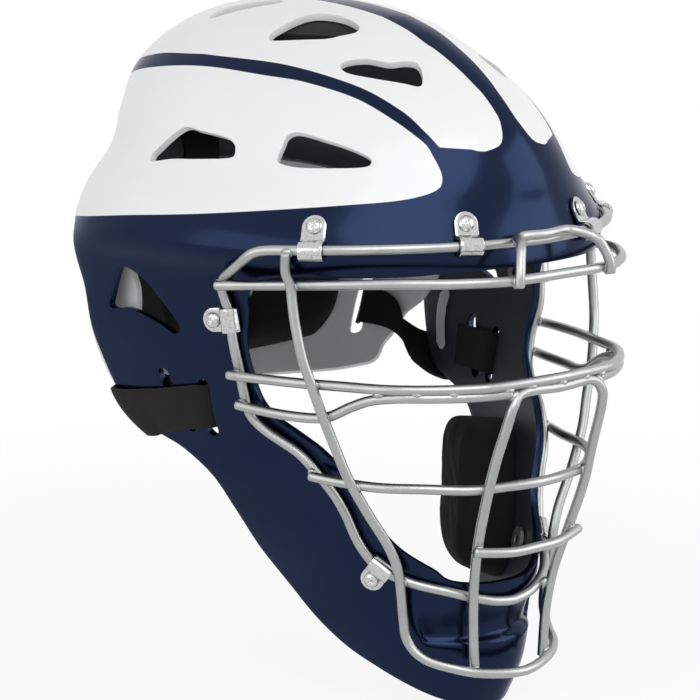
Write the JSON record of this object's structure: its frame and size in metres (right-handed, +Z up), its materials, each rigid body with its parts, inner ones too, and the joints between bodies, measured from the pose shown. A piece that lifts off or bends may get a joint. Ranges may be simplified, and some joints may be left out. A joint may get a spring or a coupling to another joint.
{
  "type": "catcher helmet",
  "caption": "Hockey-style catcher's helmet: a vented hard shell with a chin guard, a welded wire face cage on clips, foam pads, and a sprung back plate on elastic straps.",
  "frame": {"origin": "middle of the head cavity at the level of the wearer's eyes", "axes": "+Z up as worn, the face towards -Y, +X the wearer's left"},
  "size_m": [0.21, 0.2477, 0.288],
  "materials": {
    "navy_shell": "glossy clear-coated navy",
    "cage_wire": "satin silver powder coat",
    "clip_metal": "bright chrome",
    "zinc_nut": "dull zinc",
    "pad_fabric": "black knitted fabric over foam",
    "grey_patch": "bare grey strip",
    "webbing": "black woven elastic",
    "grey_plate": "matte light grey"
  },
  "bodies": {
    "shell": {"outer_shell": "navy_shell", "perimeter_wire": "cage_wire", "brow_wire": "cage_wire", "brow_loop": "cage_wire", "side_bars": "cage_wire", "eye_wire": "cage_wire", "cheek_wire_right": "cage_wire", "cheek_wire_left": "cage_wire", "centre_bars": "cage_wire", "mouth_wire": "cage_wire", "chin_wire": "cage_wire", "brow_clips": "clip_metal", "temple_clips": "clip_metal", "chin_clips": "clip_metal", "cage_screws": "clip_metal", "clip_nuts": "zinc_nut", "forehead_pad": "pad_fabric", "crown_pad": "pad_fabric", "side_pad_right": "pad_fabric", "side_pad_left": "pad_fabric", "nape_pad": "pad_fabric", "jaw_pad_right": "pad_fabric", "jaw_pad_left": "pad_fabric", "edge_patch": "grey_patch", "side_strap_right": "webbing", "side_strap_left": "webbing", "crown_strap": "webbing", "strap_rivets": "zinc_nut"},
    "back_plate": {"back_plate": "grey_plate", "back_pad": "pad_fabric", "plate_rivets": "zinc_nut"}
  },
  "joints": [
    {"name": "back_plate_hinge", "type": "hinge", "parent": "shell", "child": "back_plate", "pos_m": [0, 0.104, 0.078], "axis": [1, 0, 0], "range_deg": [0, 6], "stiffness_Nm_per_rad": 1.5, "springref_deg": -11.46, "deforming": ["side_strap_right", "side_strap_left", "crown_strap"]}
  ]
}
